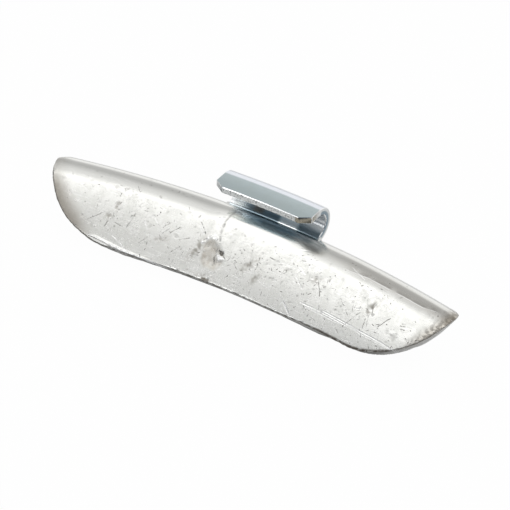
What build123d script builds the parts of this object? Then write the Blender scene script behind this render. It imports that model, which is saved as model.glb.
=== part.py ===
from build123d import *
from math import asin, cos, degrees, radians, sin, tan
import os

os.makedirs("parts", exist_ok=True)

# Clip-on wheel balance weight, lying on its outboard side.
# X runs along the weight, Y points away from the axle and Z points inboard.
# The origin is on the base, midway along the weight. Sizes are in millimetres.

# Cast lead body, seen along the axle
axle_distance = 172.5       # axle to the origin
front_radius = 164.6        # axle to the thin front edge
front_wall = 2.3            # front edge, above the base
end_arc_radius = 8.6        # round ends, at the base
end_arc_offset = 24.7       # centre of a round end, from mid-length
rake = 36.0                 # lean of the front and end walls, from upright

# Cast lead body, in section
crown_y = 3.45              # centre of the rounded crown, from the origin
crown_height = 6.3          # centre of the rounded crown, above the base
crown_radius = 2.7
crown_tilt = 5.0            # slope where the crown runs into the shoulder
shoulder_radius = 7.0       # softer bend between the crown and the inboard face
face_tilt = 32.0            # slope of the inboard face where it leaves the shoulder
face_radius = 85.0          # slight belly of the inboard face
face_run = 16.0             # length of the belly arc, past the front edge
back_draft = 36.0           # lean of the back wall, from upright
base_round = 1.8            # round where the walls meet the base

# Spring-steel clip
clip_width = 18.8
clip_x = 0.7                # middle of the clip, from mid-length
strip = 1.25                # thickness of the steel
hook_radius = 2.1           # inside radius of the hook that grips the rim
hook_turn = 165.0           # turn of the hook, from the lip
hook_y = 5.1                # centre of the hook, from the origin
hook_height = 11.15         # centre of the hook, above the base
lip_length = 3.6            # flat lip, up to the hook
lip_corner_x = 1.9          # clipped corners of the lip
lip_corner_y = 1.3
shank_radius = 0.4          # inside radius where the shank turns into the lead
shank_turn = 40.0
tang_length = 6.0           # straight tang inside the lead
key_hole = 2.6              # lead runs through these holes and locks the tang
key_spacing = 9.0
key_inset = 2.4             # centre of a hole, from the end of the tang

# Sink hole left by the casting, on the inboard face
pit_x = -4.9                # along the weight
pit_drop = 5.4              # down the face, from the shoulder
pit_length = 6.2
pit_width = 3.6
pit_depth = 0.8
pit_turn = 31.0             # turn of the long way, from straight down the face
pit_floor = 0.6             # size of the floor against the mouth

axle = Axis((0, -axle_distance, 0), (0, 0, 1))
crown_distance = axle_distance + crown_y
face_sweep = degrees(face_run / face_radius)


def radial_plane(angle):
    turn = radians(angle)
    return Plane(
        origin=(0, -axle_distance, 0),
        x_dir=(sin(turn), cos(turn), 0),
        z_dir=(cos(turn), -sin(turn), 0),
    )


# One strip bent into lip, hook, shank and tang
with BuildPart() as spring_clip:
    with BuildSketch(Plane.YZ.offset(clip_x)):
        with BuildLine():
            lip_under = hook_height + hook_radius
            lip = Line((hook_y - lip_length, lip_under), (hook_y, lip_under))
            hook = JernArc(lip @ 1, lip % 1, hook_radius, -hook_turn)
            shank = JernArc(hook @ 1, hook % 1, shank_radius + strip, shank_turn)
            tang = Line(shank @ 1, shank @ 1 + (shank % 1) * tang_length)
            offset(amount=strip, side=Side.LEFT)
        make_face()
    extrude(amount=clip_width / 2, both=True)
    lip_front = spring_clip.faces().filter_by(Axis.Y)[0]
    lip_corners = lip_front.edges().filter_by(Axis.Z)
    chamfer(lip_corners, length=lip_corner_x, length2=lip_corner_y, reference=lip_front)
    tang_end = Vector(clip_x, (tang @ 1).X, (tang @ 1).Y)
    tang_way = Vector(0, (tang % 1).X, (tang % 1).Y)
    key_plane = Plane(
        origin=tang_end - tang_way * key_inset,
        x_dir=(1, 0, 0),
        z_dir=tang_way.cross(Vector(1, 0, 0)),
    )
    with Locations(key_plane):
        with GridLocations(key_spacing, 0, 2, 1):
            Hole(radius=key_hole / 2)

# Wedge section turned about the axle, then cut to a boat-shaped outline that narrows to the base
with BuildPart() as cast_body:
    half_turn = degrees(asin((end_arc_offset + end_arc_radius + 2 * crown_height) / crown_distance))
    with BuildSketch(radial_plane(half_turn)):
        with BuildLine():
            crown = CenterArc(
                (crown_distance, crown_height), crown_radius, -back_draft, 90 + crown_tilt + back_draft
            )
            shoulder = JernArc(crown @ 1, crown % 1, shoulder_radius, face_tilt - crown_tilt)
            belly = JernArc(shoulder @ 1, shoulder % 1, face_radius, face_sweep)
            back_foot = (crown @ 0).X - ((crown @ 0).Y + crown_radius) * tan(radians(back_draft))
            Polyline(belly @ 1, ((belly @ 1).X, -crown_radius), (back_foot, -crown_radius), crown @ 0)
        make_face()
    revolve(axis=axle, revolution_arc=2 * half_turn)

    base_front_radius = front_radius + front_wall * tan(radians(rake))
    end_distance = base_front_radius + end_arc_radius
    end_angle = degrees(asin(end_arc_offset / end_distance))
    end_y = end_distance * cos(radians(end_angle)) - axle_distance
    with BuildSketch():
        with BuildLine():
            front = CenterArc((0, -axle_distance), base_front_radius, 90 - end_angle, end_angle)
            end = CenterArc((end_arc_offset, end_y), end_arc_radius, -90 - end_angle, 180 + end_angle)
            Line(end @ 1, (0, end_y + end_arc_radius))
            mirror(about=Plane.YZ)
        make_face()
    extrude(amount=crown_height + 2 * crown_radius, taper=-rake, mode=Mode.INTERSECT)

    fillet(cast_body.edges().group_by(Axis.Z)[0], radius=base_round)

    pit_section = radial_plane(degrees(asin(pit_x / front_radius)))
    pit_angle = radians(90 + face_tilt) + pit_drop / face_radius
    pit_normal = pit_section.x_dir * cos(pit_angle) + pit_section.y_dir * sin(pit_angle)
    pit_spot = pit_section.from_local_coords(belly.arc_center) + pit_normal * face_radius
    pit_plane = Plane(origin=pit_spot, x_dir=pit_section.z_dir, z_dir=pit_normal).rotated((0, 0, pit_turn))
    with BuildSketch(pit_plane):
        Ellipse(pit_width / 2, pit_length / 2)
    with BuildSketch(pit_plane.offset(-pit_depth)):
        Ellipse(pit_width / 2 * pit_floor, pit_length / 2 * pit_floor)
    loft(mode=Mode.SUBTRACT)
    add(spring_clip.part, mode=Mode.SUBTRACT)

spring_clip.part.label = "spring_clip"
export_step(spring_clip.part, "parts/spring_clip.step")
cast_body.part.label = "cast_body"
export_step(cast_body.part, "parts/cast_body.step")
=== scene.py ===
import math
import random
import bpy
import numpy as np
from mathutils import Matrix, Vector, noise


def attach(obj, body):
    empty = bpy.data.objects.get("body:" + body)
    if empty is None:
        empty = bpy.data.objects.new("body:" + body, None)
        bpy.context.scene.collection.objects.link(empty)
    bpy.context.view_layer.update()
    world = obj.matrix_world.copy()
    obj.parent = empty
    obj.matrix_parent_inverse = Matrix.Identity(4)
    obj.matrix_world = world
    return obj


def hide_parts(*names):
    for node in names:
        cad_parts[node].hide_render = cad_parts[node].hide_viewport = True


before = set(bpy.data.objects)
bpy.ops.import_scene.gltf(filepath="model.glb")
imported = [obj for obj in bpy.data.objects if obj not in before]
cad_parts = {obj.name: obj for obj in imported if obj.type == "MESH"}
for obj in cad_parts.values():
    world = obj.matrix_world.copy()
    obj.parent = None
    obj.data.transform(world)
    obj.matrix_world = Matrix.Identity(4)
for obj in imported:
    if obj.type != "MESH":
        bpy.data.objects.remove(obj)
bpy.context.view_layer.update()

scene = bpy.context.scene
scene.view_settings.view_transform = 'Standard'
millimetre = 0.001
farOff = 9.0            # millimetres, out of reach of any mark
print("frame loaded:", sorted(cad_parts))


def switchTo(mode):
    bpy.ops.object.mode_set(mode=mode)


def selectOnly(piece):
    bpy.ops.object.select_all(action='DESELECT')
    piece.select_set(True)
    bpy.context.view_layer.objects.active = piece


def applyModifier(piece, kind, **settings):
    selectOnly(piece)
    modifier = piece.modifiers.new(kind.lower(), kind)
    for name, value in settings.items():
        setattr(modifier, name, value)
    bpy.ops.object.modifier_apply(modifier=modifier.name)


def copyOfNode(nodeName, pieceName):
    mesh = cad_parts[nodeName].data.copy()
    mesh.name = pieceName
    piece = bpy.data.objects.new(pieceName, mesh)
    scene.collection.objects.link(piece)
    selectOnly(piece)
    switchTo('EDIT')
    bpy.ops.mesh.select_all(action='SELECT')
    bpy.ops.mesh.remove_doubles(threshold=1e-6)
    switchTo('OBJECT')
    return piece


def readPoints(piece):
    flat = np.zeros(len(piece.data.vertices) * 3)
    piece.data.vertices.foreach_get("co", flat)
    return flat.reshape(-1, 3) / millimetre


def writePoints(piece, points):
    piece.data.vertices.foreach_set("co", (points * millimetre).ravel())
    piece.data.update()


def writeMask(piece, name, values):
    mask = piece.data.attributes.new(name, 'FLOAT', 'POINT')
    mask.data.foreach_set("value", np.clip(values, 0, 1).astype(np.float32))


def writeField(piece, name, values):
    kind, slot = ('FLOAT', "value") if values.ndim == 1 else ('FLOAT_VECTOR', "vector")
    field = piece.data.attributes.new(name, kind, 'POINT')
    field.data.foreach_set(slot, values.astype(np.float32).ravel())


def ease(low, high, value):
    t = np.clip((value - low) / (high - low), 0, 1)
    return t * t * (3 - 2 * t)


# one between two places, and easing to nothing outside them
def between(start, full, fullEnd, end, value):
    return ease(start, full, value) * ease(end, fullEnd, value)


def ridge(gap, wide):
    return np.exp(-(gap / wide) ** 2)


def ovalGap(u, v, halfLong, halfHigh, turn):
    c, s = math.cos(math.radians(turn)), math.sin(math.radians(turn))
    return np.hypot((u * c + v * s) / halfLong, (v * c - u * s) / halfHigh)


def cloudy(points, size, shift):
    offset = Vector((shift, -shift, 0.7 * shift))
    return np.array([noise.noise(Vector(p) / size + offset) for p in points])


# lead body, in millimetres: the section and outline that the casting was made to
leadCasting = {
    "axleDistance": 172.5, "crownY": 3.45, "crownHeight": 6.3, "crownRadius": 2.7, "crownTilt": 5.0,
    "shoulderRadius": 7.0, "faceTilt": 32.0, "faceRadius": 85.0, "backDraft": 36.0,
    "frontRadius": 164.6, "frontWall": 2.3, "endArcRadius": 8.6, "endArcOffset": 24.7, "rake": 36.0,
    # remeshing, and how near a cast surface points are trued up to it, fully within a share of that
    "voxel": 0.285, "smoothTurns": 4, "trueReach": 0.3, "trueFully": 0.3,
    # the plug in the tang's slot, and where the face is made finer
    "plugFacing": (0, 0.533, 0.846), "plugSunk": 0.05, "plugSwell": 0.06,
    "fineReach": 0.12, "fineFrom": -4.6, "fineAngle": 0.6,
    # worn edges
    "edgeRound": 0.3, "leftCornerRound": 1.5, "rightCornerRound": 0.7,
}


# radius and turn about the wheel's axle
def aboutAxle(points):
    x, y = points[:, 0], points[:, 1] + leadCasting["axleDistance"]
    return np.hypot(x, y), np.arctan2(x, y)


# where each point of the casting lies: along the arc, down the face, and how far off the cast surface
def facePlace(points):
    c = leadCasting
    crown = np.array([c["axleDistance"] + c["crownY"], c["crownHeight"]])
    crownEnd, bellyStart = math.radians(90 + c["crownTilt"]), math.radians(90 + c["faceTilt"])
    crownOut = np.array([math.cos(crownEnd), math.sin(crownEnd)])
    bellyOut = np.array([math.cos(bellyStart), math.sin(bellyStart)])
    shoulder = crown + crownOut * (c["crownRadius"] - c["shoulderRadius"])
    belly = shoulder + bellyOut * (c["shoulderRadius"] - c["faceRadius"])
    radial, turn = aboutAxle(points)
    section = np.stack([radial, points[:, 2]], 1)
    fromCrown, fromShoulder, fromBelly = section - crown, section - shoulder, section - belly
    pastCrown = crownOut[0] * fromCrown[:, 1] - crownOut[1] * fromCrown[:, 0] > 0
    onBelly = pastCrown & (bellyOut[0] * fromShoulder[:, 1] - bellyOut[1] * fromShoulder[:, 0] > 0)
    arm = np.where(onBelly[:, None], fromBelly, np.where(pastCrown[:, None], fromShoulder, fromCrown))
    size = np.where(onBelly, c["faceRadius"], np.where(pastCrown, c["shoulderRadius"], c["crownRadius"]))
    angle = np.arctan2(arm[:, 1], arm[:, 0])
    off = np.hypot(arm[:, 0], arm[:, 1]) - size
    onCrown = (angle - crownEnd) * c["crownRadius"] - (bellyStart - crownEnd) * c["shoulderRadius"]
    down = np.where(pastCrown, (angle - bellyStart) * size, onCrown)
    normal = np.stack([np.cos(angle) * np.sin(turn), np.cos(angle) * np.cos(turn), np.sin(angle)], 1)
    return turn * crown[0], down, off, normal, angle


# signed distances to the raked front wall, the two raked ends, the back wall and the base
def wallPlaces(points):
    c = leadCasting
    lean = math.tan(math.radians(c["rake"]))
    upright = math.cos(math.radians(c["rake"]))
    baseFront = c["frontRadius"] + c["frontWall"] * lean
    endReach = baseFront + c["endArcRadius"]
    endY = math.sqrt(endReach ** 2 - c["endArcOffset"] ** 2) - c["axleDistance"]
    x, y, z = points.T
    radial, turn = aboutAxle(points)
    walls = []
    outward = np.stack([-np.sin(turn), -np.cos(turn), np.full(len(points), -lean)], 1) * upright
    frontEnd = c["endArcOffset"] * radial / endReach
    gap = (baseFront - z * lean - radial) * upright
    walls.append((np.where(np.abs(x) < frontEnd, gap, -farOff), outward))
    for side in (-1, 1):
        dx, dy = x - side * c["endArcOffset"], y - endY
        reach = np.hypot(dx, dy) + 1e-9
        outward = np.stack([dx / reach, dy / reach, np.full(len(points), -lean)], 1) * upright
        onEnd = (x * side > frontEnd) & (dy < c["endArcRadius"] * 1.5)
        gap = (reach - c["endArcRadius"] - z * lean) * upright
        walls.append((np.where(onEnd, gap, -farOff), outward))
    draft = math.radians(c["backDraft"])
    footR = c["axleDistance"] + c["crownY"] + c["crownRadius"] * math.cos(draft)
    footZ = c["crownHeight"] - c["crownRadius"] * math.sin(draft)
    outward = np.stack([math.cos(draft) * np.sin(turn), math.cos(draft) * np.cos(turn),
                        np.full(len(points), -math.sin(draft))], 1)
    back = (radial - footR) * math.cos(draft) - (z - footZ) * math.sin(draft)
    walls.append((np.where(z < footZ, back, -farOff), outward))
    walls.append((-z, np.tile([0.0, 0.0, -1.0], (len(points), 1))))
    return walls


# bring mesh points that lie close to a cast surface exactly onto it
def trueUp(points):
    reach = leadCasting["trueReach"]
    fully = leadCasting["trueFully"] * reach
    off, normal, angle = facePlace(points)[2:]
    off = off * (angle > math.radians(-leadCasting["backDraft"]))
    for distance, outward in [(off, normal)] + wallPlaces(points):
        points = points - outward * (distance * ease(reach, fully, np.abs(distance)))[:, None]
    return points


# marks on the inboard face, as (along, down) in millimetres from mid-length and from the shoulder
marks = {
    # along, down, half length, half height, turn, depth, dirt
    "dents": [(-26.8, -0.7, 0.9, 0.7, 20, 0.1, 0.5), (-24.9, -0.8, 1.2, 0.6, -15, 0.1, 0.6),
        (-31.5, -0.6, 0.6, 0.5, 0, 0.06, 0.3), (-21.3, -2.8, 0.6, 0.5, 0, 0.06, 0.3),
        (-25.4, 2.5, 0.9, 1.4, 10, 0.12, 0.45), (-26.3, 4.6, 0.9, 0.9, 0, 0.1, 0.5),
        (-21.4, 1.7, 0.5, 0.4, 0, 0.06, 0.5), (-24.5, 2.9, 0.4, 0.4, 0, 0.05, 0.4),
        (-18.2, 4.4, 0.6, 0.9, 30, 0.08, 0.4), (-18.3, 2.5, 0.5, 0.5, 0, 0.06, 0.5),
        (-15.5, 5.9, 1.3, 0.8, -25, 0.08, 0.35), (-12.9, 4.6, 0.9, 0.6, 20, 0.08, 0.5),
        (-13.4, 7.8, 0.6, 0.5, 0, 0.06, 0.3), (-12.8, 3.2, 0.5, 0.5, 0, 0.07, 0.4),
        (-19, 3.9, 0.5, 0.5, 0, 0.06, 0.4), (-15.3, -3.1, 0.6, 0.4, 0, 0.05, 0.3),
        (-16.2, 0.1, 0.7, 0.4, 0, 0.06, 0.4), (-12.4, -0.1, 0.7, 0.5, 0, 0.05, 0.3),
        (-1.2, 0.5, 0.6, 0.4, 20, 0.08, 0.6), (0.8, 1.4, 0.4, 0.6, 10, 0.08, 0.6),
        (2, 4.8, 1.3, 1.8, 25, 0.08, 0.5), (4.3, 6.4, 0.9, 1, 0, 0.08, 0.6),
        (7.2, 5.3, 0.5, 0.5, 0, 0.07, 0.7), (9.1, 5.3, 0.4, 0.7, 15, 0.08, 0.7),
        (4.9, 3.6, 0.5, 0.4, 0, 0.05, 0.4), (3.3, 2.1, 0.6, 0.5, 0, 0.06, 0.4),
        (14.6, 2.1, 1.2, 1, -20, 0.1, 0.6), (16.3, 3.8, 0.5, 0.9, 10, 0.06, 0.4),
        (13.4, 3, 0.8, 0.5, 20, 0.06, 0.4), (18.6, 6.9, 0.6, 0.5, 30, 0.12, 0.7),
        (26.2, 2.2, 0.9, 1.2, 10, 0.16, 0.9), (27.3, 3.3, 0.5, 0.6, 0, 0.12, 0.9),
        (18.4, 4.6, 0.5, 0.4, 0, 0.06, 0.4), (29, -0.5, 0.3, 0.3, 0, 0.06, 0.5),
        (32.9, 4.8, 1.1, 1.2, 15, 0.1, 0.5), (31.4, 4.7, 0.8, 0.6, -20, 0.07, 0.4),
        (35.5, 3.9, 0.6, 0.5, 0, 0.06, 0.4), (23.1, 0.4, 0.7, 0.5, 0, 0.05, 0.3),
        (18.9, 0.5, 0.8, 0.5, 30, 0.06, 0.3), (12.9, 4.6, 0.6, 0.5, 0, 0.06, 0.4),
        (20.7, 5.5, 0.7, 0.5, 0, 0.07, 0.5), (22.8, 3, 0.5, 0.5, 0, 0.06, 0.4),
        (9.1, 2.9, 0.6, 0.5, 0, 0.06, 0.5), (-1.9, 4.8, 0.5, 0.6, 0, 0.06, 0.4),
        (-28.7, 2.9, 0.5, 0.5, 0, 0.05, 0.3), (-31, 5.8, 0.9, 0.7, 40, 0.07, 0.4),
        (-28.8, 7, 1.1, 0.6, 40, 0.07, 0.5), (-34.6, 2.5, 0.9, 0.5, 60, 0.08, 0.3),
        (-36.7, 0.7, 0.8, 1.2, 10, 0.1, 0.2), (36, -1.5, 0.9, 0.6, 30, 0.07, 0.3),
        (37.6, -3.3, 0.8, 0.6, 30, 0.1, 0.7), (-8.1, 6.5, 0.8, 1.4, 10, 0.04, 0.5),
        (-4.5, 9.4, 1.2, 0.5, 0, 0.1, 0.9)],
    "dentSize": 0.6, "dentDepth": 0.14, "dentDirt": 0.42, "dentRagged": 0.6,
    # half width, depth, points
    "dark": [(0.16, 0.07, [(-9.7, 0.9), (-8, 2.5)]),
        (0.14, 0.05, [(-21.6, 2.9), (-21.9, 4.3), (-22.4, 5.6)]),
        (0.14, 0.05, [(-26.1, 5.1), (-26.2, 6.4), (-26.4, 6.8)]),
        (0.12, 0.04, [(-19, 7.7), (-17.9, 6.2)]), (0.12, 0.05, [(-13, 7.8), (-11.5, 6)]),
        (0.12, 0.05, [(-14.2, 4.4), (-12.9, 2.9)]), (0.14, 0.05, [(29.3, 4.5), (30.5, 2.4)]),
        (0.12, 0.05, [(23.5, 7.2), (25, 3.9)]), (0.12, 0.04, [(27, 6.3), (26.5, 4.4)]),
        (0.14, 0.05, [(14.9, 2.3), (16.8, 4.6)]), (0.12, 0.04, [(13.4, 3), (15, 2.8)]),
        (0.12, 0.05, [(1.3, 2.2), (2.4, 5.5)]), (0.14, 0.05, [(3.2, 2.9), (3.6, 5.1)]),
        (0.12, 0.04, [(4.4, 8.1), (4.5, 9.4)]), (0.12, 0.04, [(32.8, 2.6), (33.7, 2.3)]),
        (0.12, 0.04, [(33.1, 3.1), (33.9, 2.8)]), (0.1, 0.04, [(-15.6, 3.6), (-14.8, 2.6)]),
        (0.1, 0.04, [(-24.7, 5.5), (-23.1, 5.8)]),
        (0.1, 0.03, [(-30.2, 6.5), (-28.3, 5.1), (-27.1, 4.1)]), (0.1, 0.03, [(-9, 6.8), (-7.5, 5.8)]),
        (0.1, 0.04, [(24.9, 1.5), (26.3, 3.3)]), (0.12, 0.04, [(4.9, 2.2), (7, 2.3)]),
        (0.1, 0.03, [(-12, 5), (-10.4, 4.1)]), (0.14, 0.03, [(-3.6, 4.75), (-2.6, 5.35)]),
        (0.12, 0.03, [(26.9, 1.2), (26.6, 2.2), (27.1, 3.3)]), (0.1, 0.03, [(-24.9, 1.9), (-25.6, 3.2)])],
    "bright": [(0.12, 0.05, [(-18.4, 2.3), (-17.2, 3.4)]), (0.12, 0.04, [(-19.6, 3.7), (-18.4, 5.1)]),
        (0.16, 0.06, [(10.8, 8.5), (11.1, 8), (13.1, 9.2)]), (0.14, 0.05, [(11.1, 7.7), (13.6, 9.5)]),
        (0.16, 0.06, [(14.1, 6.9), (18.8, 6.8), (23.8, 6.9)]),
        (0.16, 0.06, [(18.7, 6.5), (26.4, 6.6), (34.7, 6.4)]),
        (0.12, 0.05, [(19.9, 6.8), (27.7, 6.9), (33.7, 6.6)]), (0.12, 0.04, [(15.4, 7.2), (22.9, 7.1)]),
        (0.14, 0.05, [(23.6, 3.8), (24.7, 3.4)]), (0.12, 0.05, [(10.7, 1.6), (12.4, 2.4)]),
        (0.14, 0.05, [(9, -1), (10.8, -1.5)]), (0.12, 0.04, [(19, -2.2), (22.3, -1.2)]),
        (0.12, 0.04, [(-9.5, 1.7), (-8.3, 2.8)]), (0.12, 0.05, [(10.7, 3.2), (13.3, 4.9)]),
        (0.14, 0.05, [(-24.3, 7.7), (-22.4, 8.5), (-20.4, 9.4)]), (0.1, 0.03, [(-1.7, 7), (1.8, 7.6)]),
        (0.1, 0.03, [(4.8, 6.5), (7.8, 7.2)])],
    "scratchWidth": 0.55, "scratchDepth": 0.25, "scratchDirt": 0.12, "scratchBare": 0.25,
    # small pits: clusters as along, down, spread along, spread down
    "speckAlong": (-37, 37), "speckDown": (-3.5, 9.5), "speckShare": 0.5,
    "speckCount": 130, "seed": 11, "speckSize": (0.09, 0.2), "speckDepth": 0.035, "speckDirt": (0.15, 0.6),
    "clusters": [(-17, 4.5, 5, 2.6), (2, 4, 3, 2.8), (13, 3, 3.5, 2.2), (27, 4, 4, 2.6), (-25, 3, 3, 2.4),
        (8, 4.5, 4, 2.4), (22, 6.5, 8, 1.6), (-7.5, 5.5, 1.6, 2.2)],
    # grey dirt rubbed in: along, down, half length, half height, turn, strength
    "smudges": [(-8.3, 5.4, 0.7, 2.2, 20, 0.5), (2, 4.6, 0.6, 1.9, 30, 0.42), (4.2, 6.4, 0.5, 1, 15, 0.5),
        (26.4, 2.4, 0.5, 1.3, 20, 0.6), (-25.4, 2.6, 0.5, 1, 15, 0.35), (-26.3, 4.7, 0.7, 0.5, 0, 0.4),
        (-15.5, 5.9, 1.4, 0.5, -25, 0.3), (14.6, 2.4, 1, 0.6, -20, 0.35), (-4.6, 9.3, 1.3, 0.5, 0, 0.8)],
    # cold shut from the crown to the sink hole, and on from it to the thin edge
    "crease": [(-5, -2.9), (-5.4, -2), (-5.7, -0.7), (-5.6, 0.7), (-5.4, 1.8), (-5, 2.8)],
    "creaseLow": [(-3.4, 8), (-3.9, 8.8), (-4.3, 9.6)],
    "creaseWidth": 0.17, "creaseDepth": 0.035, "creaseProud": 0.03, "creaseDirt": 0.4,
    # the sink hole and the pocket of the casting that it lies in: along, down, half sizes, depth
    "pocket": (-5, 5.4, 4.6, 4.4, 1.3),
    "pitRim": [(-7.8, 4), (-7.5, 3.6), (-7, 2.8), (-6.1, 2.6), (-4.7, 3.2), (-3.9, 3.9), (-2.8, 4.8),
        (-2.6, 5.6), (-2.4, 6.2), (-2.6, 6.9), (-3.4, 8.1), (-4.9, 8.1), (-6, 8.1), (-7.1, 7.1),
        (-7.5, 5.8)],
    "pitLip": [(-7.9, 4.1), (-7.5, 3.5), (-7, 2.7), (-6.1, 2.5), (-5.4, 2.7)],
    "pitHole": [(-4, 4.5), (-3.65, 4.7)],
    "pitHoleSize": 0.34, "pitHoleDepth": 0.4, "pitShallow": 0.07, "pitDeep": 0.1, "pitLipHeight": 0.07,
    "pitLipWidth": 0.22, "flakeHeight": 0.04,
    "pitFlake": [(-4.5, 5.05), (-2.5, 5.4), (-3.8, 6)],
    # sliver of flash on the thin edge, and the fold beside the crown
    "flash": [(-27.5, 8.7), (-25.3, 9), (-22.1, 9.3), (-18.9, 9.5), (-15.7, 9.7), (-12.5, 9.8)],
    "fold": [(17, -1.4), (19, -1.5), (22.8, -1.9), (26, -1.85), (30, -1.95), (34, -2), (36.5, -2.6)],
    "flashSpan": (-29, -27, -14, -11.5), "foldSpan": (17, 23, 35.5, 37.5),
    "flashHeight": 0.05, "flashWidth": 0.22, "foldHeight": 0.009,
    # the thin edge's raggedness and dirt, and its nicks: along, down, half width, depth
    "edgeRagged": 0.1, "rimDirt": 0.75, "nickDirt": 0.9,
    "nicks": [(35.2, 3.4, 0.5, 0.35), (36.4, 1.9, 0.6, 0.4), (38.4, -0.2, 0.5, 0.35),
        (32.4, 6.7, 0.4, 0.2), (33.9, 5.5, 0.4, 0.25), (37.4, 0.9, 0.35, 0.25), (39, -1.8, 0.4, 0.2),
        (16, 9.6, 0.5, 0.12), (24.5, 9.3, 0.7, 0.15), (2, 9.7, 0.6, 0.12), (-10, 9.7, 0.6, 0.15),
        (-24, 9.2, 0.8, 0.15)],
    # how far the thin edge stands out past the moulded outline, along the weight
    "edgeReach": [(-40, -0.35), (-38.5, -0.22), (-36.5, 0.08), (-34, 0.12), (-30, -0.05), (-26, 0.15),
        (-21, 0.45), (-10, 0.42), (0, 0.4), (10, 0.4), (14, 0.25), (18, 0.05), (25, 0), (31, 0.1),
        (35, 0.25), (37.5, 0.25), (39.5, 0)],
    # and how far the wall under it does
    "wallReach": [(-33, 0), (-30, -0.4), (-26, -0.35), (-22, 0), (15, 0), (18.5, -0.05), (22, -0.4),
        (27, -0.5), (31, -0.5), (33, -0.55), (34.2, -0.4), (35.5, 0.15), (37, 0.25), (39, 0.05)],
    # lead drawn up against the clip: height, and where it starts and ends along and down
    "mound": 0.22, "moundAlong": (-9.5, -5, 7.5, 11.5), "moundDown": (-0.2, -3, -3.6, -4.6),
    # slow waves left by the mould: height, size, draw
    "waves": [(0.022, 8.0, 1.0), (0.002, 2.6, 1.5), (0.0007, 0.9, 2.5)],
    # scuffs: stretch, size, draw
    "scuffDepth": 0.0012, "scuffDirt": 0.12,
    "scuffs": [((1, 1, 1), 0.36, 24), ((0.35, 1, 1), 0.28, 25), ((1, 0.4, 0.5), 0.26, 26)],
}


# distance to a line of points, and on which side of it
def nearLine(along, down, path):
    best = np.full(len(along), np.inf)
    side = np.zeros(len(along))
    for (a0, d0), (a1, d1) in zip(path[:-1], path[1:]):
        run = np.array([a1 - a0, d1 - d0])
        size = max(run @ run, 1e-9)
        t = np.clip(((along - a0) * run[0] + (down - d0) * run[1]) / size, 0, 1)
        gapA, gapD = along - a0 - t * run[0], down - d0 - t * run[1]
        gap = np.hypot(gapA, gapD)
        closer = gap < best
        best = np.where(closer, gap, best)
        side = np.where(closer, np.sign(run[0] * gapD - run[1] * gapA), side)
    return best, side


def insideLoop(along, down, loop):
    inside = np.zeros(len(along), bool)
    for (a0, d0), (a1, d1) in zip(loop, loop[1:] + loop[:1]):
        crosses = (d0 > down) != (d1 > down)
        inside ^= crosses & (along < (a1 - a0) * (down - d0) / (d1 - d0 + 1e-12) + a0)
    return inside


def plugOfClip():
    plug = copyOfNode("spring_clip", "plug")
    c = leadCasting
    out = Vector(c["plugFacing"]).normalized()
    spot = Vector((0, c["crownY"], c["crownHeight"])) + out * (c["crownRadius"] - c["plugSunk"])
    switchTo('EDIT')
    bpy.ops.mesh.select_all(action='SELECT')
    bpy.ops.mesh.bisect(plane_co=spot * millimetre, plane_no=out, use_fill=True, clear_outer=True)
    bpy.ops.mesh.select_all(action='SELECT')
    bpy.ops.mesh.normals_make_consistent(inside=False)
    switchTo('OBJECT')
    points = readPoints(plug)
    outward = np.zeros(len(points) * 3)
    plug.data.vertices.foreach_get("normal", outward)
    writePoints(plug, points + outward.reshape(-1, 3) * c["plugSwell"])
    return plug


# the casting as one skin: a copy of the node with the tang's slot filled, remeshed and trued up
leadBody = copyOfNode("cast_body", "leadBody")
plug = plugOfClip()
selectOnly(leadBody)
plug.select_set(True)
bpy.ops.object.join()
applyModifier(leadBody, 'REMESH', mode='VOXEL', voxel_size=leadCasting["voxel"] * millimetre)
applyModifier(leadBody, 'SMOOTH', factor=0.5, iterations=leadCasting["smoothTurns"])
points = trueUp(readPoints(leadBody))
along, down, off, normal, angle = facePlace(points)
a, d, halfLong, halfHigh, depth = marks["pocket"]
overPit = (np.abs(along - a) < halfLong) & (np.abs(down - d) < halfHigh) & (off < 0) & (off > -depth)
points -= normal * (off * overPit)[:, None]
writePoints(leadBody, points)
print("lead remeshed:", len(points), "points")

# twice as fine on the inboard face, where the marks are
centres = np.zeros(len(leadBody.data.polygons) * 3)
leadBody.data.polygons.foreach_get("center", centres)
along, down, off, normal, angle = facePlace(centres.reshape(-1, 3) / millimetre)
fineFace = np.abs(off) < leadCasting["fineReach"]
fineFace &= (down > leadCasting["fineFrom"]) & (angle > leadCasting["fineAngle"])
selectOnly(leadBody)
bpy.context.tool_settings.mesh_select_mode = (False, False, True)
switchTo('EDIT')
bpy.ops.mesh.select_all(action='DESELECT')
switchTo('OBJECT')
leadBody.data.polygons.foreach_set("select", fineFace)
switchTo('EDIT')
bpy.ops.mesh.subdivide(number_cuts=1)
switchTo('OBJECT')
points = trueUp(readPoints(leadBody))
print("lead face divided:", len(points), "points")

# edges worn round, most of all at the crown's two corners
along, down, off, normal, angle = facePlace(points)
atCrown = ease(1.0, -3.0, down)
cornerRound = np.where(along < 0, leadCasting["leftCornerRound"], leadCasting["rightCornerRound"])
wornRound = leadCasting["edgeRound"] + atCrown * cornerRound
for distance, outward in wallPlaces(points)[:3]:
    inFace, inWall = wornRound + off, wornRound + distance
    reach = np.hypot(inFace, inWall)
    cut = np.where((inFace > 0) & (inWall > 0), np.maximum(reach - wornRound, 0), 0) * ease(-0.6, -0.1, angle)
    points -= (normal * (inFace / reach)[:, None] + outward * (inWall / reach)[:, None]) * cut[:, None]

# the nearest of the front and end walls, how far it is and which way it faces
along, down, off, normal, angle = facePlace(points)
distances, outwards = zip(*wallPlaces(points)[:3])
rimGap = -np.max(distances, axis=0)
rimOut = np.choose(np.argmax(distances, axis=0)[:, None], outwards)

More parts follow.
